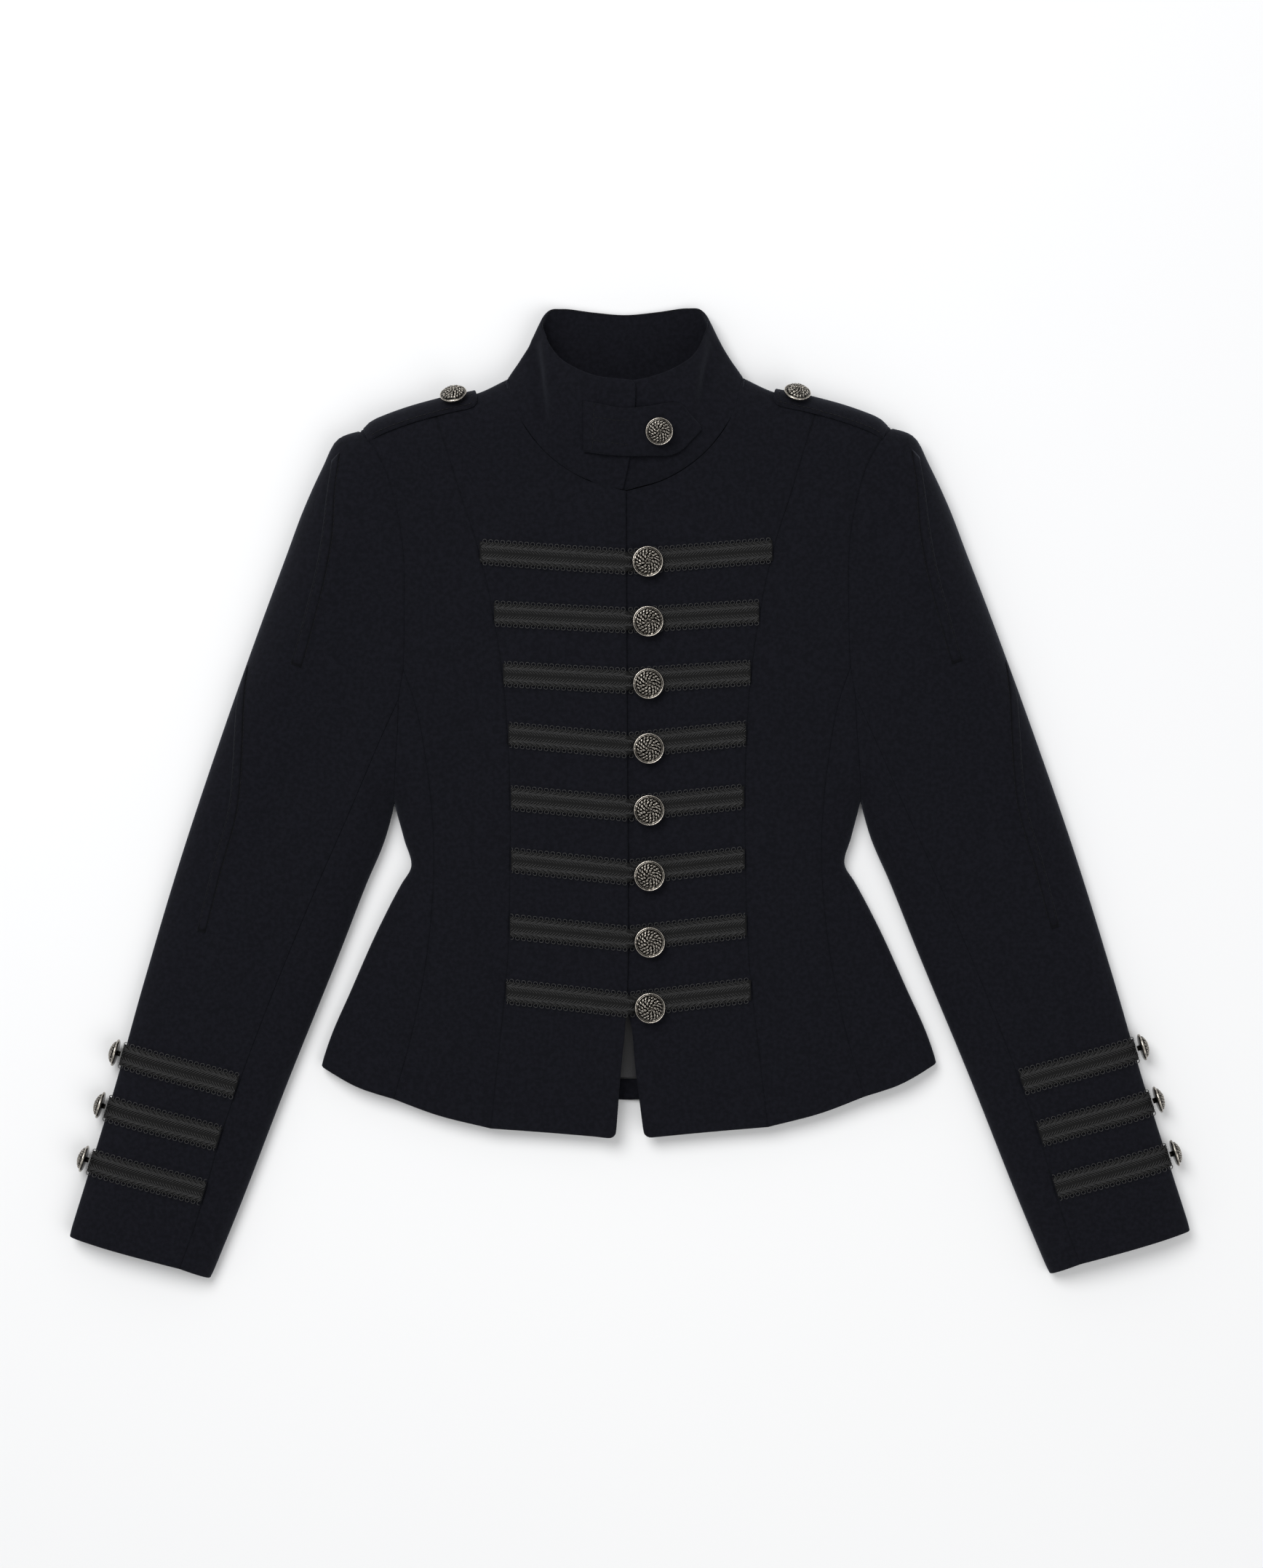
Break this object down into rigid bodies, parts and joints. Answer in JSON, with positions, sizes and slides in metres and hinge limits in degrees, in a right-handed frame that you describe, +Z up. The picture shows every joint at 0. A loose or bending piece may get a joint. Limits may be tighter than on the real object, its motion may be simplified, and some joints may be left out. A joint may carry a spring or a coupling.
{
  "type": "napoleon jacket",
  "caption": "Short fitted military jacket in black wool, laid flat: stand collar with tab, rows of braid and domed metal buttons, epaulettes, braided cuffs.",
  "frame": {"origin": "on the surface that the jacket lies on, under the back panel, on the centre line and half way between the collar's top and the cuffs", "axes": "+X to the right of the picture, +Y from the hem towards the collar, +Z up from the surface"},
  "size_m": [0.829, 0.7166, 0.0543],
  "materials": {
    "wool": "napped black melton wool",
    "braid": "charcoal gimp braid",
    "antique_silver": "antique silver, dark in the recesses",
    "lining_satin": "charcoal satin"
  },
  "bodies": {
    "root": {"back_center": "wool", "back_lining": "lining_satin", "back_side_left": "wool", "back_side_right": "wool", "collar": "wool", "collar_tab": "wool", "cuff_braid_left_1": "braid", "cuff_braid_left_2": "braid", "cuff_braid_left_3": "braid", "cuff_braid_right_1": "braid", "cuff_braid_right_2": "braid", "cuff_braid_right_3": "braid", "cuff_button_left_1": "antique_silver", "cuff_button_left_2": "antique_silver", "cuff_button_left_3": "antique_silver", "cuff_button_right_1": "antique_silver", "cuff_button_right_2": "antique_silver", "cuff_button_right_3": "antique_silver", "epaulette_button_left": "antique_silver", "epaulette_button_right": "antique_silver", "epaulette_left": "wool", "epaulette_right": "wool", "front_braid_left_1": "braid", "front_braid_left_2": "braid", "front_braid_left_3": "braid", "front_braid_left_4": "braid", "front_braid_left_5": "braid", "front_braid_left_6": "braid", "front_braid_left_7": "braid", "front_braid_left_8": "braid", "front_braid_right_1": "braid", "front_braid_right_2": "braid", "front_braid_right_3": "braid", "front_braid_right_4": "braid", "front_braid_right_5": "braid", "front_braid_right_6": "braid", "front_braid_right_7": "braid", "front_braid_right_8": "braid", "front_button_1": "antique_silver", "front_button_2": "antique_silver", "front_button_3": "antique_silver", "front_button_4": "antique_silver", "front_button_5": "antique_silver", "front_button_6": "antique_silver", "front_button_7": "antique_silver", "front_button_8": "antique_silver", "front_center_left": "wool", "front_center_right": "wool", "front_side_left": "wool", "front_side_right": "wool", "hem_facing": "wool", "side_panel_left": "wool", "side_panel_right": "wool", "tab_button": "antique_silver", "top_sleeve_left": "wool", "top_sleeve_right": "wool", "under_sleeve_left": "wool", "under_sleeve_right": "wool"}
  },
  "joints": []
}
